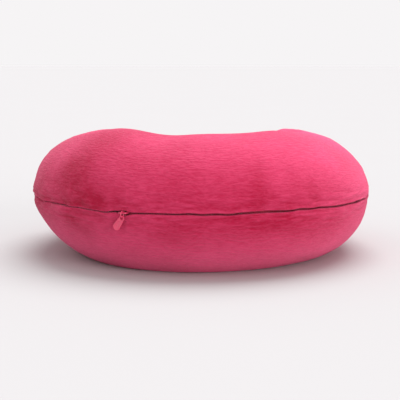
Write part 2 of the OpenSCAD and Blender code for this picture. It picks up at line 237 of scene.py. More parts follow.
def centreline(s):
    """x, y and heading of the tube's middle, at lengths s from the middle of the back."""
    left = np.abs(s)
    x = np.zeros_like(left)
    y = np.full_like(left, ARC.y - arcs()[0][0])
    heading = np.zeros_like(left)
    for radius, turn in arcs():
        t = np.clip(left / radius, 0, turn)
        x += radius * (np.sin(heading + t) - np.sin(heading))
        y -= radius * (np.cos(heading + t) - np.cos(heading))
        heading = heading + t
        left = left - radius * turn
    side = np.where(s < 0, -1, 1)
    return side * x, y, side * heading


def smooth(t):
    t = np.clip(t, 0, 1)
    return t * t * (3 - 2 * t)


def closing(s, inset):
    """How much of the full section is left at s, where a tip rounds off."""
    p = settings(PillowShape)
    e = np.clip(1 - (half_length() - inset - np.abs(s)) / p.tip_round, 0, 1)
    return np.sqrt(np.clip(1 - e * e, 0, 1))


def section_point(s, phi, up, inset=0.0, edge=0.0, outer_room=0.0, inner_room=0.0):
    """A point of the tube. phi runs from the outer seam (0) over the crown (90 degrees) to
    the inner seam. edge is the height above the seam at which the section starts."""
    p = settings(PillowShape)
    k = closing(s, inset)
    along = smooth(np.abs(s) / back_length())
    arm_like = along if up > 0 else 0.7 + 0.3 * along
    power = 2 / (p.squareness + (p.arm_squareness - p.squareness) * arm_like)
    across = np.abs(np.cos(phi)) ** power
    rise = np.clip(np.sin(phi), 0, 1) ** power
    if up > 0:
        rise_at = np.exp(-(((np.abs(s) - p.shoulder_at) / 0.030) ** 2))
        height = CROWN_Z - p.arm_drop * along + p.shoulder * rise_at - ARC.z
    else:
        height = ARC.z + p.foot_flat
    d = edge + (height - inset - edge) * rise * k
    outside = np.cos(phi) > 0
    half = np.where(outside, p.outer_half, p.nape_half + (p.arm_half - p.nape_half) * along)
    fade = np.exp(-((d / settings(PillowLining).room_height) ** 2))
    half = half - inset - np.where(outside, outer_room, inner_room) * fade
    off = np.where(outside, 1, -1) * across * k * half
    point = beside(s, off, up * d, 1 - smooth((d / height - 0.3) / 0.65))
    lean = np.where(outside, across, 0) * smooth(d / height / 0.5) * along * k
    sides = np.where(s < 0, -1.3, 0.55)
    point[..., 2] -= p.slump * sides * lean
    return point


def beside(s, off, up, share):
    """A point off from the centreline and up from the seam, turned by its share of the tilt."""
    x, y, heading = centreline(s)
    x = x + off * np.sin(heading)
    y = y - off * np.cos(heading)
    a = SEAM_TILT * share
    return np.stack([x * np.cos(a) - up * np.sin(a), y, ARC.z + x * np.sin(a) + up * np.cos(a)], -1)


def stations(inset, spacing, tip_rows):
    """Lengths of the rows of points: even along the tube, closer where a tip rounds off."""
    tip = settings(PillowShape).tip_round
    end = half_length() - inset
    turn = 1 - np.cos(np.linspace(0, QUARTER, tip_rows + 1))
    count = round(2 * (end - tip) / spacing)
    body = np.linspace(tip - end, end - tip, count + 1)
    return np.concatenate([tip * turn - end, body[1:-1], end - tip * turn[::-1]])


def even_angles(count):
    """Angles whose points lie evenly round half a section."""
    p = settings(PillowShape)
    phi = np.linspace(0, math.pi, 4001)
    power = 2 / p.squareness
    half = np.where(np.cos(phi) > 0, p.outer_half, p.nape_half)
    across = np.sign(np.cos(phi)) * np.abs(np.cos(phi)) ** power * half
    rise = np.sin(phi).clip(0) ** power * ARC.z
    run = np.concatenate([[0], np.cumsum(np.hypot(np.diff(across), np.diff(rise)))])
    return np.interp(np.linspace(0, run[-1], count + 1), run, phi), run[-1]


def noise(u, v, seed):
    """Smooth random heights between -1 and 1, one for each unit of u and v."""
    size = 97
    lattice = np.random.default_rng(seed).uniform(-1, 1, (size, size))
    i, j = np.floor(u).astype(int), np.floor(v).astype(int)
    fu, fv = smooth(u - i), smooth(v - j)
    i0, i1, j0, j1 = i % size, (i + 1) % size, j % size, (j + 1) % size
    low = lattice[i0, j0] * (1 - fv) + lattice[i0, j1] * fv
    high = lattice[i1, j0] * (1 - fv) + lattice[i1, j1] * fv
    return low * (1 - fu) + high * fu


def normals(points):
    """Outward unit normals of rows of points."""
    along = np.gradient(points, axis=0)
    round_ = np.gradient(points, axis=1)
    n = np.cross(along, round_)
    n /= np.linalg.norm(n, axis=-1, keepdims=True).clip(1e-12)
    middle = n[len(n) // 2, n.shape[1] // 2]
    toward = points[len(points) // 2, n.shape[1] // 2][2] - ARC.z
    return n * (1 if middle[2] * toward > 0 else -1)


def bump(s, v, at, width):
    """A round swelling of height 1 at the point at = (length along, length round)."""
    return np.exp(-(((s - at[0]) / width[0]) ** 2) - ((v - at[1]) / width[1]) ** 2)


# ---------------------------------------------------------------- meshes


def deselect():
    if bpy.context.object and bpy.context.object.mode != "OBJECT":
        bpy.ops.object.mode_set(mode="OBJECT")
    bpy.ops.object.select_all(action="DESELECT")


def activate(obj):
    deselect()
    obj.select_set(True)
    bpy.context.view_layer.objects.active = obj


def solid(name, points, uv, values=None, capped=False):
    """A closed solid from rows of points, each row one closed loop. The first and the last
    row lie in a point, or are capped. values holds one number for each point."""
    rows, cols = points.shape[:2]
    index = np.arange(rows * cols).reshape(rows, cols)
    nxt = np.roll(index, -1, axis=1)
    faces = np.stack([index[:-1], nxt[:-1], nxt[1:], index[1:]], -1).reshape(-1, 4).tolist()
    if capped:
        faces += [index[0, ::-1].tolist(), index[-1].tolist()]
    mesh = bpy.data.meshes.new(name)
    mesh.from_pydata(points.reshape(-1, 3).tolist(), [], faces)
    layer = mesh.uv_layers.new(name="Cloth")
    corners = np.zeros(len(mesh.loops), int)
    mesh.loops.foreach_get("vertex_index", corners)
    layer.data.foreach_set("uv", uv.reshape(-1, 2)[corners].ravel().astype(np.float32))
    if values is not None:
        layer = mesh.attributes.new("nap_and_light", "FLOAT", "POINT")
        layer.data.foreach_set("value", values.ravel().astype(np.float32))
    obj = bpy.data.objects.new(name, mesh)
    bpy.context.collection.objects.link(obj)
    activate(obj)
    bpy.ops.object.mode_set(mode="EDIT")
    bpy.ops.mesh.select_all(action="SELECT")
    bpy.ops.mesh.remove_doubles(threshold=MERGE_WITHIN)
    bpy.ops.mesh.normals_make_consistent(inside=False)
    bpy.ops.object.mode_set(mode="OBJECT")
    bpy.ops.object.shade_smooth()
    return obj


def add_piece(obj, body, slot, material, *nodes):
    """Makes obj a piece of the pillow: its body, its finish and the nodes it stands for."""
    obj.data.materials.clear()
    obj.data.materials.append(material)
    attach(obj, body)
    if nodes:
        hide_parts(*nodes)
    return obj


def finish_node(node, material):
    obj = frame["nodes"][node]
    obj.data.materials.clear()
    obj.data.materials.append(material)


# ---------------------------------------------------------------- materials


class Nodes:
    """Short calls that add nodes to one tree."""

    def __init__(self, tree):
        self.tree = tree

    def add(self, kind, inputs=None, **settings_):
        node = self.tree.nodes.new(kind)
        for key, value in settings_.items():
            setattr(node, key, value)
        for key, value in (inputs or {}).items():
            self.feed(node.inputs[key], value)
        return node

    def feed(self, socket, value):
        if isinstance(value, bpy.types.NodeSocket):
            self.tree.links.new(value, socket)
        else:
            socket.default_value = value

    def math(self, operation, a, b=None, c=None):
        node = self.add("ShaderNodeMath", operation=operation)
        for socket, value in zip(node.inputs, (a, b, c)):
            if value is not None:
                self.feed(socket, value)
        return node.outputs[0]

    def mix(self, factor, a, b, blend="MIX"):
        node = self.add("ShaderNodeMix", data_type="RGBA", blend_type=blend)
        self.feed(node.inputs["Factor"], factor)
        self.feed(node.inputs["A"], a)
        self.feed(node.inputs["B"], b)
        return node.outputs["Result"]

    def scaled(self, vector, scale):
        node = self.add("ShaderNodeMapping", {"Vector": vector, "Scale": scale})
        return node.outputs["Vector"]

    def cloud(self, vector, scale=1.0, detail=2.0, roughness=0.5):
        inputs = {"Vector": vector, "Scale": scale, "Detail": detail, "Roughness": roughness}
        return self.add("ShaderNodeTexNoise", inputs).outputs["Fac"]

    def span(self, value, low, high, to_low=0.0, to_high=1.0):
        inputs = {
            "Value": value, "From Min": low, "From Max": high, "To Min": to_low, "To Max": to_high,
        }
        return self.add("ShaderNodeMapRange", inputs, interpolation_type="SMOOTHSTEP").outputs[0]


def new_group(name, inputs, outputs):
    """A shader node group with named sockets, and its tree's nodes."""
    tree = bpy.data.node_groups.new(name, "ShaderNodeTree")
    for key, kind, default in inputs:
        socket = tree.interface.new_socket(key, in_out="INPUT", socket_type=kind)
        if default is not None:
            socket.default_value = default
    for key, kind in outputs:
        tree.interface.new_socket(key, in_out="OUTPUT", socket_type=kind)
    n = Nodes(tree)
    return tree, n, n.add("NodeGroupInput").outputs, n.add("NodeGroupOutput").inputs


COLOR, VALUE, VECTOR = "NodeSocketColor", "NodeSocketFloat", "NodeSocketVector"


def velour_group():
    """Brushed pile: streaks along the cloth, lighter and darker pile tone that also carries painted
    light and shade, and their height.
    """
    tree, n, given, out = new_group(
        "Brushed velour",
        (("Vector", VECTOR, None), ("Nap", VALUE, 0.5), ("Deep", COLOR, None),
         ("Bright", COLOR, None), ("Streaks", VALUE, 0.5)),
        (("Color", COLOR), ("Height", VALUE), ("Roughness", VALUE)),
    )
    cloth = given["Vector"]
    long_streak = n.cloud(n.scaled(cloth, (170, 620, 1)), detail=3.0, roughness=0.6)
    short_streak = n.cloud(n.scaled(cloth, (420, 1300, 1)), detail=2.0, roughness=0.6)
    tufts = n.cloud(n.scaled(cloth, (2200, 3400, 1)), detail=1.0)
    patches = n.cloud(n.scaled(cloth, (14, 20, 1)), detail=2.0)
    streak = n.math("ADD", n.math("MULTIPLY", long_streak, 0.6), n.math("MULTIPLY", short_streak, 0.4))
    streak = n.span(streak, 0.34, 0.66)
    centred = n.math("SUBTRACT", streak, 0.5)
    lift = n.math("MULTIPLY", centred, given["Streaks"])
    patch = n.span(patches, 0.3, 0.7, -0.10, 0.10)
    # The pile tone given in carries painted light and painted shade; random streaks and patches are
    # added to it.
    tone = n.math("ADD", n.math("ADD", given["Nap"], lift), patch)
    n.feed(out["Color"], n.mix(tone, given["Deep"], given["Bright"]))
    height = n.math("ADD", n.math("MULTIPLY", streak, 0.7), n.math("MULTIPLY", tufts, 0.3))
    n.feed(out["Height"], height)
    n.feed(out["Roughness"], n.span(streak, 0.0, 1.0, 0.95, 0.78))
    return tree


def weave_group():
    """Crossing threads over and under each other, painted darker where a thread lies under, for tape,
    knit, thread and satin.
    """
    tree, n, given, out = new_group(
        "Woven threads",
        (("Vector", VECTOR, None), ("Base", COLOR, None), ("Shade", VALUE, 0.7),
         ("Across", VALUE, 1000.0), ("Along", VALUE, 1000.0), ("Slub", VALUE, 0.2)),
        (("Color", COLOR), ("Height", VALUE)),
    )
    part = n.add("ShaderNodeSeparateXYZ", {"Vector": given["Vector"]}).outputs
    u = n.math("MULTIPLY", part[0], given["Along"])
    v = n.math("MULTIPLY", part[1], given["Across"])
    warp = n.math("SINE", n.math("MULTIPLY", u, 2 * math.pi))
    weft = n.math("SINE", n.math("MULTIPLY", v, 2 * math.pi))
    over = n.math("MULTIPLY", warp, weft)
    slub = n.cloud(n.scaled(given["Vector"], (180, 900, 1)), detail=3.0)
    height = n.math("ADD", n.math("MULTIPLY", over, 0.5), 0.5)
    # Painted shade: where a thread lies under another its colour is darker; the slub adds tone that
    # differs at random.
    shade = n.math("ADD", n.math("MULTIPLY", slub, given["Slub"]), n.math("MULTIPLY", height, 0.4))
    shaded_base = n.mix(given["Shade"], given["Base"], (0.0, 0.0, 0.0, 1.0))
    n.feed(out["Color"], n.mix(n.span(shade, 0.0, 0.6), shaded_base, given["Base"]))
    n.feed(out["Height"], height)
    return tree


def wear_group():
    """Fine grain, and colour made a little lighter in patches where edges stand out."""
    tree, n, given, out = new_group(
        "Lighter edges",
        (("Vector", VECTOR, None), ("Base", COLOR, None), ("Worn", COLOR, None),
         ("Grain", VALUE, 3000.0), ("Wear", VALUE, 0.5), ("Edge", VALUE, 0.0)),
        (("Color", COLOR), ("Height", VALUE), ("Roughness", VALUE)),
    )
    grain = n.cloud(given["Vector"], given["Grain"], 3.0)
    blotches = n.cloud(given["Vector"], 400.0, 2.0)
    # Edges that stand out are made a little lighter in the same colour, in patches.
    patchy_edges = n.math("MULTIPLY", given["Edge"], n.span(blotches, 0.3, 0.7))
    lightened = n.math("MULTIPLY", patchy_edges, given["Wear"])
    n.feed(out["Color"], n.mix(lightened, given["Base"], given["Worn"]))
    n.feed(out["Height"], grain)
    n.feed(out["Roughness"], n.span(blotches, 0.2, 0.8, 0.25, 0.45))
    return tree


GROUP_MAKERS = {"velour": velour_group, "weave": weave_group, "lightening": wear_group}
MADE_GROUPS = {}


def placed_group(n, kind, **inputs):
    """The named group in a material's tree, built on first use."""
    if kind not in MADE_GROUPS:
        MADE_GROUPS[kind] = GROUP_MAKERS[kind]()
    node = n.add("ShaderNodeGroup", node_tree=MADE_GROUPS[kind])
    for key, value in inputs.items():
        n.feed(node.inputs[key], value)
    return node.outputs


def new_material(name):
    material = bpy.data.materials.new(name)
    material.use_nodes = True
    n = Nodes(material.node_tree)
    return material, n, material.node_tree.nodes["Principled BSDF"].inputs


def rgba(rgb):
    return (*rgb, 1.0)


def bumped(n, height, strength, distance):
    inputs = {"Height": height, "Strength": strength, "Distance": distance}
    return n.add("ShaderNodeBump", inputs).outputs["Normal"]


def plush_material():
    p = settings(PillowCover)
    material, n, shader = new_material("Raspberry velour")
    cloth = n.add("ShaderNodeUVMap", uv_map="Cloth").outputs["UV"]
    # This attribute holds the pile's tone, with painted light and painted shade in it.
    nap_and_light = n.add("ShaderNodeAttribute", attribute_name="nap_and_light").outputs["Fac"]
    pile = placed_group(
        n, "velour", Vector=cloth, Nap=nap_and_light, Deep=rgba(p.deep), Bright=rgba(p.bright), Streaks=0.20
    )
    n.feed(shader["Base Color"], pile["Color"])
    n.feed(shader["Roughness"], pile["Roughness"])
    n.feed(shader["Normal"], bumped(n, pile["Height"], 0.8, 0.0008))
    shader["Specular IOR Level"].default_value = 0.15
    shader["Sheen Weight"].default_value = 0.17
    shader["Sheen Roughness"].default_value = 0.45
    shader["Sheen Tint"].default_value = rgba(p.sheen)
    return material


def cloth_material(name, base, across, along, depth, shade=0.6, sheen=0.2, slub=0.3, vector=None):
    """A woven or knitted cloth on the piece's own UV map, or round the back's arc."""
    material, n, shader = new_material(name)
    if vector is None:
        vector = n.add("ShaderNodeUVMap", uv_map="Cloth").outputs["UV"]
    else:
        vector = vector(n)
    threads = placed_group(
        n, "weave", Vector=vector, Base=rgba(base), Shade=shade, Across=across, Along=along, Slub=slub
    )
    n.feed(shader["Base Color"], threads["Color"])
    n.feed(shader["Normal"], bumped(n, threads["Height"], 0.7, depth))
    shader["Roughness"].default_value = 0.8
    shader["Sheen Weight"].default_value = sheen
    shader["Sheen Roughness"].default_value = 0.5
    return material


def round_the_arc(n):
    """Length round the back's arc and height, from object coordinates."""
    place = n.add("ShaderNodeTexCoord").outputs["Object"]
    part = n.add("ShaderNodeSeparateXYZ", {"Vector": place}).outputs
    back = n.math("SUBTRACT", ARC.y, part[1])
    turn = n.math("ARCTAN2", part[0], back)
    run = n.math("MULTIPLY", turn, settings(PillowShape).width / 2)
    return n.add("ShaderNodeCombineXYZ", {"X": run, "Y": part[2]}).outputs["Vector"]


def grained_material(name, base, edge_colour, grain=3000.0, lightening=0.6, metallic=0.0, coat=0.0, depth=0.00004):
    material, n, shader = new_material(name)
    place = n.add("ShaderNodeTexCoord").outputs["Object"]
    geometry = n.add("ShaderNodeNewGeometry").outputs["Pointiness"]
    edge = n.span(geometry, 0.5, 0.62)
    surface = placed_group(
        n, "lightening", Vector=place, Base=rgba(base), Worn=rgba(edge_colour), Grain=grain, Wear=lightening, Edge=edge
    )
    n.feed(shader["Base Color"], surface["Color"])
    n.feed(shader["Roughness"], surface["Roughness"])
    n.feed(shader["Normal"], bumped(n, surface["Height"], 0.4, depth))
    shader["Metallic"].default_value = metallic
    shader["Coat Weight"].default_value = coat
    shader["Coat Roughness"].default_value = 0.15
    return material


# ---------------------------------------------------------------- the cover


def slack(s, v, run, up):
    """Soft lumps of the filling, as outward heights: broad and fine ones anywhere, three
    on the upper panel, and one shallow hollow in the lower."""
    broad = noise(s / 0.060 + 7 * up, v / 0.050, 3) * 0.0008
    fine = noise(s / 0.026, v / 0.030 + 5 * up, 4) * 0.0003
    shapes = 0
    if up > 0:
        back = back_length()
        shapes = (
            0.0020 * bump(s, v, (-back + 0.060, 0.58 * run), (0.035, 0.035))
            - 0.0014 * bump(s, v, (-0.024, 0.50 * run), (0.026, 0.045))
            + 0.0024 * bump(s, v, (0.128, 0.36 * run), (0.026, 0.030))
        )
    else:
        shapes = -0.0022 * bump(s, v, (0.062, 0.42 * run), (0.045, 0.030))
    return broad + fine + shapes


def seam_swell(v, run):
    """How far the plush stands out beside its two seams."""
    return sum(
        (1 - np.exp(-((d / 0.0045) ** 2))) * np.exp(-((d / 0.030) ** 2)) for d in (v, run - v)
    )


def creases(s, v, up):
    """Short creases that lie along the outer seam, from -1 to 1."""
    return noise(s / 0.0070, v / 0.0022 + 9 * up, 73) * np.exp(-((v / 0.011) ** 2))


def gathers(s, v, run, up):
    """Small folds that run away from the seams where the stitching draws the cloth in."""
    total = 0
    left = 1 + 1.4 * smooth((-s - 0.055) / 0.03)
    for seed, d, depth in ((11, v, left), (12, run - v, 0.6)):
        tight = noise(s / 0.0075 + 0.2 * d / 0.004, d / 0.05 + 3 * up, seed)
        loose = noise(s / 0.021, d / 0.06 + 5 * up, seed + 2)
        drawn = smooth(0.5 + 0.9 * noise(s / 0.055, 0 * s + seed, 21))
        total = total + (tight * np.exp(-d / 0.006) + loose * np.exp(-d / 0.014)) * drawn * depth
    total = total + 1.1 * creases(s, v, up) * smooth(v / 0.002)
    if up < 0:
        knots = 0.9 * noise(s / 0.0042, v / 0.0042, 71)
        total = total + knots * bump(s, v, (-0.052, 0.020), (0.014, 0.005))
    return total


def streaks(s, v):
    """Clumps of pile brushed along the cloth."""
    return noise(s / 0.0125, v / 0.0051, 31) + 0.5 * noise(s / 0.0073, v / 0.0039, 32)


def nap_of(s, v, run, up):
    """Which way the pile lies, 0 deep to 1 bright, with strokes of a hand across it, and painted light
    and shade: lighter towards the upper crown and the right arm, lighter low on the lower panel and
    towards the arms, and painted shade along the creases.
    """
    crown = run / 2
    tone = 0.045 * noise(s / 0.045 + 3 * up, v / 0.055, 41) + 0.03 * noise(s / 0.014, v / 0.030, 42)
    # Painted shade and painted highlight: the creases are made darker in their hollows and lighter on
    # their ridges.
    tone = tone + 0.15 * creases(s, v, up)
    if up > 0:
        # Painted light: the upper panel is made lighter up towards its crown, where the overhead light
        # falls, and towards the right arm, on the side of the lights.
        tone = tone + 0.24 + 0.24 * smooth(v / crown) + 0.34 * smooth((s - 0.02) / 0.10)
        strokes = (
            (-0.24, -0.073, 0.026, 0.013, 0.030), (-0.22, -0.057, 0.006, 0.013, 0.012),
            (-0.07, -0.062, 0.062, 0.016, 0.022), (-0.10, -0.084, 0.012, 0.006, 0.020),
            (0.10, -0.098, 0.035, 0.009, 0.030), (-0.10, 0.029, 0.018, 0.005, 0.020),
            (0.06, 0.041, 0.030, 0.006, 0.030), (-0.12, 0.061, 0.010, 0.006, 0.008),
            (0.05, -0.030, 0.060, 0.020, 0.020),
        )
    else:
        # Painted light: the lower panel is made lighter from the outer seam down towards the table, and
        # towards both arms, in place of light from below.
        tone = tone + 0.22 + 0.66 * smooth(v / (0.8 * crown)) + 0.10 * smooth((np.abs(s) - 0.06) / 0.06)
        strokes = (
            (-0.26, -0.078, 0.010, 0.007, 0.008), (-0.16, -0.068, 0.020, 0.008, 0.010),
            (-0.10, 0.040, 0.008, 0.016, 0.009), (-0.08, -0.020, 0.015, 0.014, 0.012),
            (0.10, -0.090, 0.020, 0.005, 0.020), (0.14, 0.105, 0.020, 0.030, 0.040),
        )
    for amount, at, height, length_, width in strokes:
        edge = 0.25 * noise(s / 0.010, v / 0.010 + amount * 50, 43)
        tone = tone + amount * (1 + edge) * bump(s, v, (at, height), (length_, width))
    return tone


def wander(s):
    """How far the seam strays up and down where the pile and the stitching pull at it."""
    risen = 0.0009 * np.exp(-(((s - 0.040) / 0.018) ** 2))
    calm = 1 - 0.8 * bump(s, 0, (END_ANGLE * arcs()[0][0], 0), (0.006, 1))
    return (0.0006 * noise(s / 0.0065, 0 * s, 61) + 0.0004 * noise(s / 0.027, 0 * s, 62)) * calm + risen


def parting(s, v):
    """How far the lips are pushed open beside the slider."""
    back = arcs()[0][0]
    closed = 0.0014 * np.exp(-(((s - SLIDER_ANGLE * back) / 0.0026) ** 2))
    opened = 0.0004 * np.exp(-(((s - END_ANGLE * back) / 0.0030) ** 2))
    return (closed + opened) * np.exp(-((v / 0.005) ** 2))


def lip_gap(s):
    """Half the gap between the panels at the outer seam: wider where the zip runs."""
    p = settings(PillowCover)
    back = arcs()[0][0]
    first = back * (SLIDER_ANGLE - math.radians(3))
    last = back * (END_ANGLE + math.radians(3))
    beyond = np.maximum(first - s, s - last).clip(0)
    wide = 1 + 0.5 * np.exp(-(((s - 0.036) / 0.020) ** 2))
    return p.sewn_gap + (p.zip_gap * wide - p.sewn_gap) * (1 - smooth(beyond / 0.012))


def simulated_folds(rows, angles):
    """Folds that cloth cut a little too large makes when it is sewn down along its seams and
    pushed out by the filling: outward heights on rows by angles, for both panels."""
    p = settings(PillowCover)
    s = rows[:, None]
    both = [section_point(s, angles[None, :], up) for up in (1, -1)]
    ring = np.concatenate([both[0], both[1][:, -2:0:-1]], 1)
    cols = ring.shape[1]
    order = np.arange(ring.shape[0] * cols, dtype=float)
    obj = solid("Stuffed", ring, np.zeros((*ring.shape[:2], 2)), order)
    kept = np.zeros(len(obj.data.vertices))
    obj.data.attributes["nap_and_light"].data.foreach_get("value", kept)
    co = np.zeros(len(obj.data.vertices) * 3)
    obj.data.vertices.foreach_get("co", co)
    start = co.reshape(-1, 3).copy()
    from_seam = np.abs(start[:, 2] - ARC.z - start[:, 0] * math.sin(SEAM_TILT))
    held = obj.vertex_groups.new(name="held")
    tip_y = start[:, 1].max() - 0.012
    for i, (point, d) in enumerate(zip(start, from_seam)):
        if d < 0.0008 or point[1] > tip_y:
            held.add([i], 1.0, "REPLACE")
    cloth = obj.modifiers.new("Cloth", "CLOTH")
    cloth.settings.quality = 5
    cloth.settings.mass = 0.25
    cloth.settings.tension_stiffness = 12
    cloth.settings.compression_stiffness = 12
    cloth.settings.shear_stiffness = 4
    cloth.settings.bending_stiffness = 0.8
    cloth.settings.use_pressure = True
    cloth.settings.uniform_pressure_force = p.pressure
    cloth.settings.vertex_group_mass = "held"
    cloth.settings.pin_stiffness = 1.0
    cloth.settings.shrink_min = -p.growth
    cloth.settings.effector_weights.gravity = 0
    cloth.point_cache.frame_end = p.steps
    for step in range(1, p.steps + 1):
        bpy.context.scene.frame_set(step)
    activate(obj)
    bpy.ops.object.modifier_apply(modifier="Cloth")
    bpy.context.scene.frame_set(1)
    co = np.zeros(len(obj.data.vertices) * 3)
    obj.data.vertices.foreach_get("co", co)
    moved = co.reshape(-1, 3) - start
    bpy.data.objects.remove(obj)
    shift = np.zeros((ring.shape[0] * cols, 3))
    shift[kept.round().astype(int)] = moved
    shift = shift.reshape(ring.shape)
    folds = []
    count = len(angles)
    under = [0, *range(cols - 1, count - 1, -1), count - 1]
    for up, grid in ((1, shift[:, :count]), (-1, shift[:, under])):
        height = (grid * normals(both[0] if up > 0 else both[1])).sum(-1)
        folds.append((height - blurred(height, 4)).clip(-0.0016, 0.0016))
    return folds


def blurred(field, times):
    """A field smoothed along and round, with its edges repeated."""
    for _ in range(times):
        f = np.pad(field, 1, mode="edge")
        field = (f[:-2, 1:-1] + f[2:, 1:-1] + f[1:-1, :-2] + f[1:-1, 2:] + 2 * f[1:-1, 1:-1]) / 6
    return field


def resampled(field, rows, angles, s, phi):
    """A coarse field at finer rows s and angles phi."""
    wide = np.stack([np.interp(phi, angles, line) for line in field])
    return np.stack([np.interp(s, rows, wide[:, j]) for j in range(len(phi))], 1)


def panel(name, up, folds):
    """One plush panel: its face, the lips turned in at both seams, the hems and its back."""
    p = settings(PillowCover)
    t = p.thickness
    phi, run = even_angles(148)
    s = stations(0, 0.0019, 40)
    grid_s, grid_phi = s[:, None], phi[None, :]
    v = np.linspace(0, run, len(phi))[None, :]
    k = closing(s, 0)[:, None]
    gap = lip_gap(s)[:, None] * np.cos(grid_phi).clip(0) ** 2 + p.sewn_gap
    gap = gap * (1 + 0.25 * noise(grid_s / 0.006, 0 * grid_s, 63))
    open_ = parting(grid_s, v)
    face = section_point(grid_s, grid_phi, up, edge=gap + t)
    face[..., 2] += up * open_
    out = normals(face)
    held = smooth(np.minimum(v, run - v) / 0.006)
    lift = (
        p.swell * seam_swell(v, run) * (1 - smooth(np.abs(grid_s) / 0.14))
        + slack(grid_s, v, run, up) * held
        + p.pucker * gathers(grid_s, v, run, up)
        + p.pile * streaks(grid_s, v) * held
    )
    if folds is not None:
        clear = smooth((np.minimum(v, run - v) - 0.006) / 0.025)
        lift = lift + resampled(folds[2 * (up < 0)], *folds[1], s, phi) * clear
    face = face + out * (lift * smooth(k / 0.5))[..., None]
    stray = wander(s) * smooth(k[:, 0] / 0.5)
    face[..., 2] += stray[:, None] * np.exp(-np.minimum(v, run - v) / 0.007)
    floor = 0.0002 if up < 0 else -1
    face[..., 2] = np.maximum(face[..., 2], floor)
    # The pile's tone, with painted light and painted shade in it.
    nap_and_light = np.broadcast_to(nap_of(grid_s, v, run, up), face.shape[:2])

    inner_s = s * (half_length() - 2 * t) / half_length()
    hem = math.asin((p.hem_height / CROWN_Z * 2) ** (settings(PillowShape).squareness / 2))
    back_phi = np.linspace(hem, math.pi - hem, 30)
    under = np.stack([np.interp(back_phi, phi, line) for line in lift], 0)
    back = section_point(inner_s[:, None], back_phi[None, :], up, inset=t, edge=2 * t)
    back = back + normals(back) * (under * smooth(k / 0.5))[..., None]
    hems, lips = [], []
    for end, turned in ((0, (hem, hem / 2, 0)), (-1, (math.pi - hem, math.pi - hem / 2, math.pi))):
        rows_ = [
            section_point(inner_s, np.full_like(s, a), up, inset=2 * t, edge=gap[:, end] + t)
            for a in turned
        ]
        low = rows_[-1]
        low[:, 2] += up * open_[:, end] + stray
        hems.append(np.stack(rows_, 1))
        middle, half = (face[:, end] + low) / 2, (face[:, end] - low) / 2
        down = np.array([0, 0, -up * t])
        turns = np.linspace(0, math.pi, 10)[1:-1]
        lips.append(np.stack([
            middle + half * math.copysign(abs(math.cos(a)) ** 0.5, math.cos(a))
            + down * math.sin(a) ** 0.5
            for a in turns
        ], 1))
    loop = np.concatenate(
        [face, lips[1], hems[1][:, ::-1], back[:, ::-1], hems[0], lips[0][:, ::-1]], 1
    )
    if up < 0:
        inside = loop[:, len(phi) + 11:-11]
        inside[..., 2] = np.maximum(inside[..., 2], t)
    extra = loop.shape[1] - len(phi)
    uv = np.zeros((*loop.shape[:2], 2))
    uv[..., 0] = grid_s
    uv[:, :len(phi), 1] = v
    uv[:, len(phi):, 1] = np.linspace(run, 0, extra)[None, :]
    naps_and_light = np.concatenate([nap_and_light, np.full((len(s), extra), 0.25)], 1)
    return solid(name, loop, uv, naps_and_light)


class PILLOW_OT_cover(bpy.types.Operator):
    """Simulates the plush over the filling, then makes its two panels"""

    bl_idname = "pillow.cover"
    bl_label = "Plush cover"

    def execute(self, context):
        folds = None
        rows = stations(0, 0.0058, 12)
        angles, _ = even_angles(30)
        upper, lower = simulated_folds(rows, angles)
        folds = (upper, (rows, angles), lower)
        velour = plush_material()
        for name, up, node in (
            ("cover_top", 1, "cover_top_panel"), ("cover_bottom", -1, "cover_bottom_panel"),
        ):
            obj = add_piece(panel(name, up, folds), "cushion", "plush", velour, node)
        return {"FINISHED"}


# ---------------------------------------------------------------- liner and foam


class PILLOW_OT_liner(bpy.types.Operator):
    """Makes the knitted liner's two halves, with the room for the zip drawn in"""

    bl_idname = "pillow.liner"
    bl_label = "Liner"

    def half(self, name, up):
        p = settings(PillowLining)
        phi, run = even_angles(48)
        s = stations(p.liner_inset, 0.0042, 20)
        v = np.linspace(0, run, len(phi))[None, :]
        skins = []
        for depth, spread in ((0, 1), (p.liner_thickness, -1)):
            inset = p.liner_inset + depth
            scale = (half_length() - inset) / (half_length() - p.liner_inset)
            skin = section_point(
                s[:, None] * scale, phi[None, :], up, inset, 0.00006, p.outer_room, p.inner_room
            )
            ease = 0.00022 * noise(s[:, None] / 0.012, v / 0.02 + 4 * up, 51)
            held = smooth(np.minimum(v, run - v) / 0.008) * smooth(closing(s, 0)[:, None] / 0.5)
            skin = skin + normals(skin) * (ease * held)[..., None]
            skin[..., 2] = np.maximum(skin[..., 2], inset if up < 0 else -1)
            skins.append(skin if spread > 0 else skin[:, ::-1])
        loop = np.concatenate(skins, 1)
        uv = np.zeros((*loop.shape[:2], 2))
        uv[..., 0] = s[:, None]
        uv[..., 1] = np.concatenate([v, v[:, ::-1]], 1)
        return solid(name, loop, uv)

    def execute(self, context):
        p = settings(PillowLining)
        knit = cloth_material("Undyed knit", p.knit, 900, 1300, 0.0002, shade=0.35, sheen=0.3)
        for name, up, node in (("liner_upper", 1, "liner_top"), ("liner_lower", -1, "liner_bottom")):
            add_piece(self.half(name, up), "cushion", "liner", knit, node)
        thread = cloth_material("Liner thread", p.knit, 4000, 2500, 0.0001, vector=round_the_arc)
        finish_node("liner_stitching", thread)
        return {"FINISHED"}


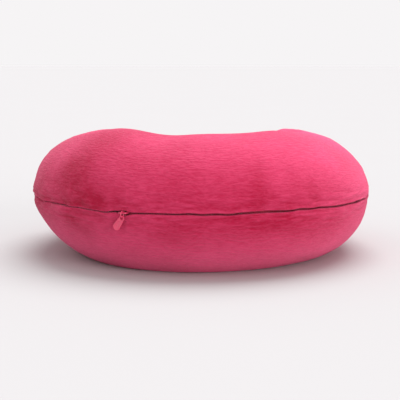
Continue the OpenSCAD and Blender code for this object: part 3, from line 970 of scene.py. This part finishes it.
class PILLOW_OT_foam(bpy.types.Operator):
    """Makes the moulded foam core, with the line where its mould parts"""

    bl_idname = "pillow.foam"
    bl_label = "Foam core"

    def execute(self, context):
        p = settings(PillowLining)
        phi, run = even_angles(44)
        s = stations(p.foam_inset, 0.0045, 20)
        v = np.linspace(0, run, len(phi))[None, :]
        halves = []
        for up in (1, -1):
            skin = section_point(
                s[:, None], phi[None, :], up, p.foam_inset, 0.0, p.outer_room, p.inner_room
            )
            k = smooth(closing(s, p.foam_inset)[:, None] / 0.5)
            ridge = 0.00018 * np.exp(-((np.minimum(v, run - v) / 0.0012) ** 2))
            skin = skin + normals(skin) * (ridge * k)[..., None]
            skin[..., 2] = np.maximum(skin[..., 2], p.foam_inset if up < 0 else -1)
            halves.append(skin)
        loop = np.concatenate([halves[0], halves[1][:, -2:0:-1]], 1)
        uv = np.zeros((*loop.shape[:2], 2))
        uv[..., 0] = s[:, None]
        uv[..., 1] = np.linspace(0, 2 * run, loop.shape[1])[None, :]
        material, n, shader = new_material("Moulded foam")
        place = n.add("ShaderNodeTexCoord").outputs["Object"]
        pores = n.add("ShaderNodeTexVoronoi", {"Vector": place, "Scale": 900.0}).outputs["Distance"]
        age = n.cloud(place, 30.0, 3.0)
        # Painted shade: the pits of the pores are darker; the cloud adds tone that differs at random.
        tone = n.span(n.math("ADD", n.math("MULTIPLY", pores, 0.5), age), 0.3, 1.0)
        n.feed(shader["Base Color"], n.mix(tone, rgba([c * 0.8 for c in p.foam]), rgba(p.foam)))
        n.feed(shader["Normal"], bumped(n, pores, 0.5, 0.0004))
        shader["Roughness"].default_value = 0.9
        shader["Subsurface Weight"].default_value = 0.15
        shader["Subsurface Scale"].default_value = 0.004
        obj = add_piece(solid("foam", loop, uv), "cushion", "foam", material, "foam_core")
        return {"FINISHED"}


# ---------------------------------------------------------------- the zip


def on_arc(turn, radius, up):
    """Points at angles round the back's arc, at a radius and a height above the seam."""
    x, z = radius * np.sin(turn), up
    a = SEAM_TILT
    y = ARC.y - radius * np.cos(turn)
    return np.stack([x * np.cos(a) - z * np.sin(a), y, ARC.z + x * np.sin(a) + z * np.cos(a)], -1)


class PILLOW_OT_coils(bpy.types.Operator):
    """Winds the zip's two nylon coils, each one long filament between the other's turns"""

    bl_idname = "pillow.coils"
    bl_label = "Zip coils"

    def wound(self, name, up):
        p = settings(PillowZip)
        cord = frame["nodes"]["zip_cord_upper" if up > 0 else "zip_cord_lower"]
        co = np.array([v.co for v in cord.data.vertices])
        back = ARC.y - co[:, 1]
        radius = np.hypot(co[:, 0], back).mean()
        tilt = co[:, 2] - ARC.z - co[:, 0] * math.sin(SEAM_TILT)
        height = tilt.mean() / math.cos(SEAM_TILT)
        pitch = p.coil_pitch / radius
        first = SLIDER_ANGLE + p.coil_lead / radius
        a = np.linspace(0, 2 * math.pi * p.coil_turns, p.coil_turns * p.coil_points + 1)
        start = -QUARTER if up > 0 else QUARTER
        turn = first + pitch * (a / (2 * math.pi) + (0 if up > 0 else 0.5))
        in_out = p.coil_radius * np.cos(a + start)
        up_down = p.coil_radius * np.sin(a + start)
        path = on_arc(turn, radius + in_out, height + up_down)
        sides = 8
        along = np.gradient(path, axis=0)
        along /= np.linalg.norm(along, axis=1, keepdims=True)
        middle = on_arc(turn, np.full_like(a, radius), np.full_like(a, height))
        out = path - middle
        out -= (out * along).sum(1, keepdims=True) * along
        out /= np.linalg.norm(out, axis=1, keepdims=True)
        side = np.cross(along, out)
        ring = np.linspace(0, 2 * math.pi, sides, endpoint=False)
        half = p.coil_wire / 2
        tube = path[:, None] + half * (
            np.cos(ring)[None, :, None] * out[:, None] + np.sin(ring)[None, :, None] * side[:, None]
        )
        return solid(name, tube, np.zeros((*tube.shape[:2], 2)), capped=True)

    def execute(self, context):
        p = settings(PillowZip)
        # A lighter copy of the nylon's colour goes on the edges that stand out.
        nylon = grained_material("Dyed nylon", p.nylon, [c * 1.3 for c in p.nylon], coat=0.3)
        for name, up, node in (
            ("coil_upper", 1, "zip_coil_upper"), ("coil_lower", -1, "zip_coil_lower"),
        ):
            add_piece(self.wound(name, up), "cushion", "zip_coil", nylon, node)
        return {"FINISHED"}


class PILLOW_OT_tapes(bpy.types.Operator):
    """Finishes the woven tapes, their cords and all the sewing thread"""

    bl_idname = "pillow.tapes"
    bl_label = "Zip tapes and thread"

    def execute(self, context):
        p = settings(PillowZip)
        tape = cloth_material("Zip tape", p.cloth, 2200, 1500, 0.00015, vector=round_the_arc)
        for node in ("zip_tape_upper", "zip_tape_lower", "zip_cord_upper", "zip_cord_lower"):
            finish_node(node, tape)
        thread = cloth_material("Polyester thread", p.thread, 4000, 2500, 0.0001, vector=round_the_arc)
        for node in (
            "outer_seam_stitching", "inner_seam_stitching",
            "zip_tape_stitching_upper", "zip_tape_stitching_lower",
            "zip_end_tack_left", "zip_end_tack_right",
        ):
            finish_node(node, thread)
        return {"FINISHED"}


class PILLOW_OT_slider(bpy.types.Operator):
    """Rounds the cast edges of the slider, the tab and the stops, and finishes them"""

    bl_idname = "pillow.slider"
    bl_label = "Slider and pull"

    def softened(self, node, name, width):
        cad = frame["nodes"][node]
        obj = bpy.data.objects.new(name, cad.data.copy())
        bpy.context.collection.objects.link(obj)
        activate(obj)
        bpy.ops.object.mode_set(mode="EDIT")
        bpy.ops.mesh.select_all(action="SELECT")
        bpy.ops.mesh.remove_doubles(threshold=MERGE_WITHIN / 2)
        bpy.ops.mesh.dissolve_limited(angle_limit=math.radians(1.0))
        bpy.ops.mesh.normals_make_consistent(inside=False)
        bpy.ops.object.mode_set(mode="OBJECT")
        bevel = obj.modifiers.new("Bevel", "BEVEL")
        bevel.width = width
        bevel.segments = 3
        bevel.limit_method = "ANGLE"
        bevel.angle_limit = math.radians(35)
        bpy.ops.object.modifier_apply(modifier="Bevel")
        bpy.ops.object.shade_smooth_by_angle(angle=math.radians(40))
        return obj

    def execute(self, context):
        p = settings(PillowZip)
        # A lighter copy of the enamel's colour goes on the edges that stand out.
        edge_colour = [min(1.0, c * 1.25 + 0.05) for c in p.enamel]
        enamel = grained_material("Enamelled metal", p.enamel, edge_colour, metallic=0.0, coat=0.6)
        for name, node, body in (
            ("slider", "zip_slider", "slider"), ("pull_tab", "zip_pull_tab", "pull_tab"),
            ("bottom_stop", "zip_bottom_stop", "cushion"),
        ):
            add_piece(self.softened(node, name, p.bevel), body, "zip_metal", enamel, node)
        for node in ("zip_pull_link", "zip_top_stops"):
            finish_node(node, enamel)
        return {"FINISHED"}


class PILLOW_OT_label(bpy.types.Operator):
    """Finishes the blank satin care label inside the cover"""

    bl_idname = "pillow.label"
    bl_label = "Care label"

    def execute(self, context):
        satin = cloth_material(
            "White satin", (0.86, 0.86, 0.84), 3200, 1600, 0.00006, shade=0.12, vector=round_the_arc
        )
        finish_node("care_label", satin)
        return {"FINISHED"}


# ---------------------------------------------------------------- the stage


class PILLOW_OT_stage(bpy.types.Operator):
    """Sets the camera, the white table, the room and the soft lights"""

    bl_idname = "pillow.stage"
    bl_label = "Stage"

    def camera(self, p):
        data = bpy.data.cameras.new("Camera")
        data.lens = p.lens
        data.shift_x, data.shift_y = p.shift_x, p.shift_y
        camera = bpy.data.objects.new("Camera", data)
        a, e = p.side_angle, p.height_angle
        back = Vector((math.sin(a) * math.cos(e), -math.cos(a) * math.cos(e), math.sin(e)))
        camera.location = Vector((0, ARC.y, p.aim_height)) + back * p.distance
        camera.rotation_euler = (-back).to_track_quat("-Z", "Y").to_euler()
        bpy.context.collection.objects.link(camera)
        bpy.context.scene.camera = camera

    def room(self, p):
        """A wall as bright as the lit table all round, and a ceiling above it."""
        world = bpy.data.worlds.new("Room")
        bpy.context.scene.world = world
        world.use_nodes = True
        n = Nodes(world.node_tree)
        toward = n.add("ShaderNodeTexCoord").outputs["Generated"]
        up = n.add("ShaderNodeSeparateXYZ", {"Vector": toward}).outputs["Z"]
        overhead = n.span(up, 0.12, 0.7)
        ceiling = rgba([c * p.ceiling for c in p.wall])
        background = world.node_tree.nodes["Background"].inputs
        n.feed(background["Color"], n.mix(overhead, rgba(p.wall), ceiling))

    def softbox(self, name, energy, spread, place):
        """A distant softbox in the direction of place."""
        data = bpy.data.lights.new(name, "SUN")
        data.energy = energy
        data.angle = spread
        lamp = bpy.data.objects.new(name, data)
        lamp.rotation_euler = (-Vector(place)).to_track_quat("-Z", "Y").to_euler()
        bpy.context.collection.objects.link(lamp)

    def execute(self, context):
        p = settings(PillowStage)
        self.camera(p)
        deselect()
        bpy.ops.mesh.primitive_plane_add(size=60)
        floor = context.object
        floor.name = "Floor"
        material, n, shader = new_material("White table")
        place = n.add("ShaderNodeTexCoord").outputs["Object"]
        tone = n.span(n.cloud(place, 3.0), 0.3, 0.7)
        n.feed(shader["Base Color"], n.mix(tone, rgba([c * 0.996 for c in p.floor]), rgba(p.floor)))
        shader["Roughness"].default_value = 0.95
        shader["Specular IOR Level"].default_value = 0.0
        floor.data.materials.append(material)
        self.room(p)
        overhead = (math.tan(p.key_lean), -math.tan(p.key_front), 1)
        self.softbox("Overhead softbox", p.key, p.key_spread, overhead)
        front = (math.sin(p.fill_side), -math.cos(p.fill_side), math.tan(p.fill_height))
        self.softbox("Front softbox", p.fill, p.fill_spread, front)
        context.scene.view_settings.view_transform = "Standard"
        return {"FINISHED"}


OPERATORS = (
    PILLOW_OT_stage, PILLOW_OT_foam, PILLOW_OT_liner, PILLOW_OT_cover, PILLOW_OT_tapes,
    PILLOW_OT_coils, PILLOW_OT_slider, PILLOW_OT_label,
)


class PILLOW_PT_panel(bpy.types.Panel):
    """Lists the operators and the sizes that they read"""

    bl_idname = "PILLOW_PT_panel"
    bl_label = "Neck Pillow"
    bl_space_type = "VIEW_3D"
    bl_region_type = "UI"
    bl_category = "Neck Pillow"

    def draw(self, context):
        for operator in OPERATORS:
            self.layout.operator(operator.bl_idname)
        for group in GROUPS:
            box = self.layout.box()
            box.label(text=group.__doc__)
            for key in group.__annotations__:
                box.prop(settings(group), key)


def register():
    for group in GROUPS:
        bpy.utils.register_class(group)
        setattr(bpy.types.Scene, group.__name__, PointerProperty(type=group))
    for made in (*OPERATORS, PILLOW_PT_panel):
        bpy.utils.register_class(made)


def unregister():
    for made in reversed((*OPERATORS, PILLOW_PT_panel)):
        bpy.utils.unregister_class(made)
    for group in reversed(GROUPS):
        delattr(bpy.types.Scene, group.__name__)
        bpy.utils.unregister_class(group)


def main():
    register()
    for operator in OPERATORS:
        area, name = operator.bl_idname.split(".")
        getattr(getattr(bpy.ops, area), name)()


if __name__ == "__main__":
    main()
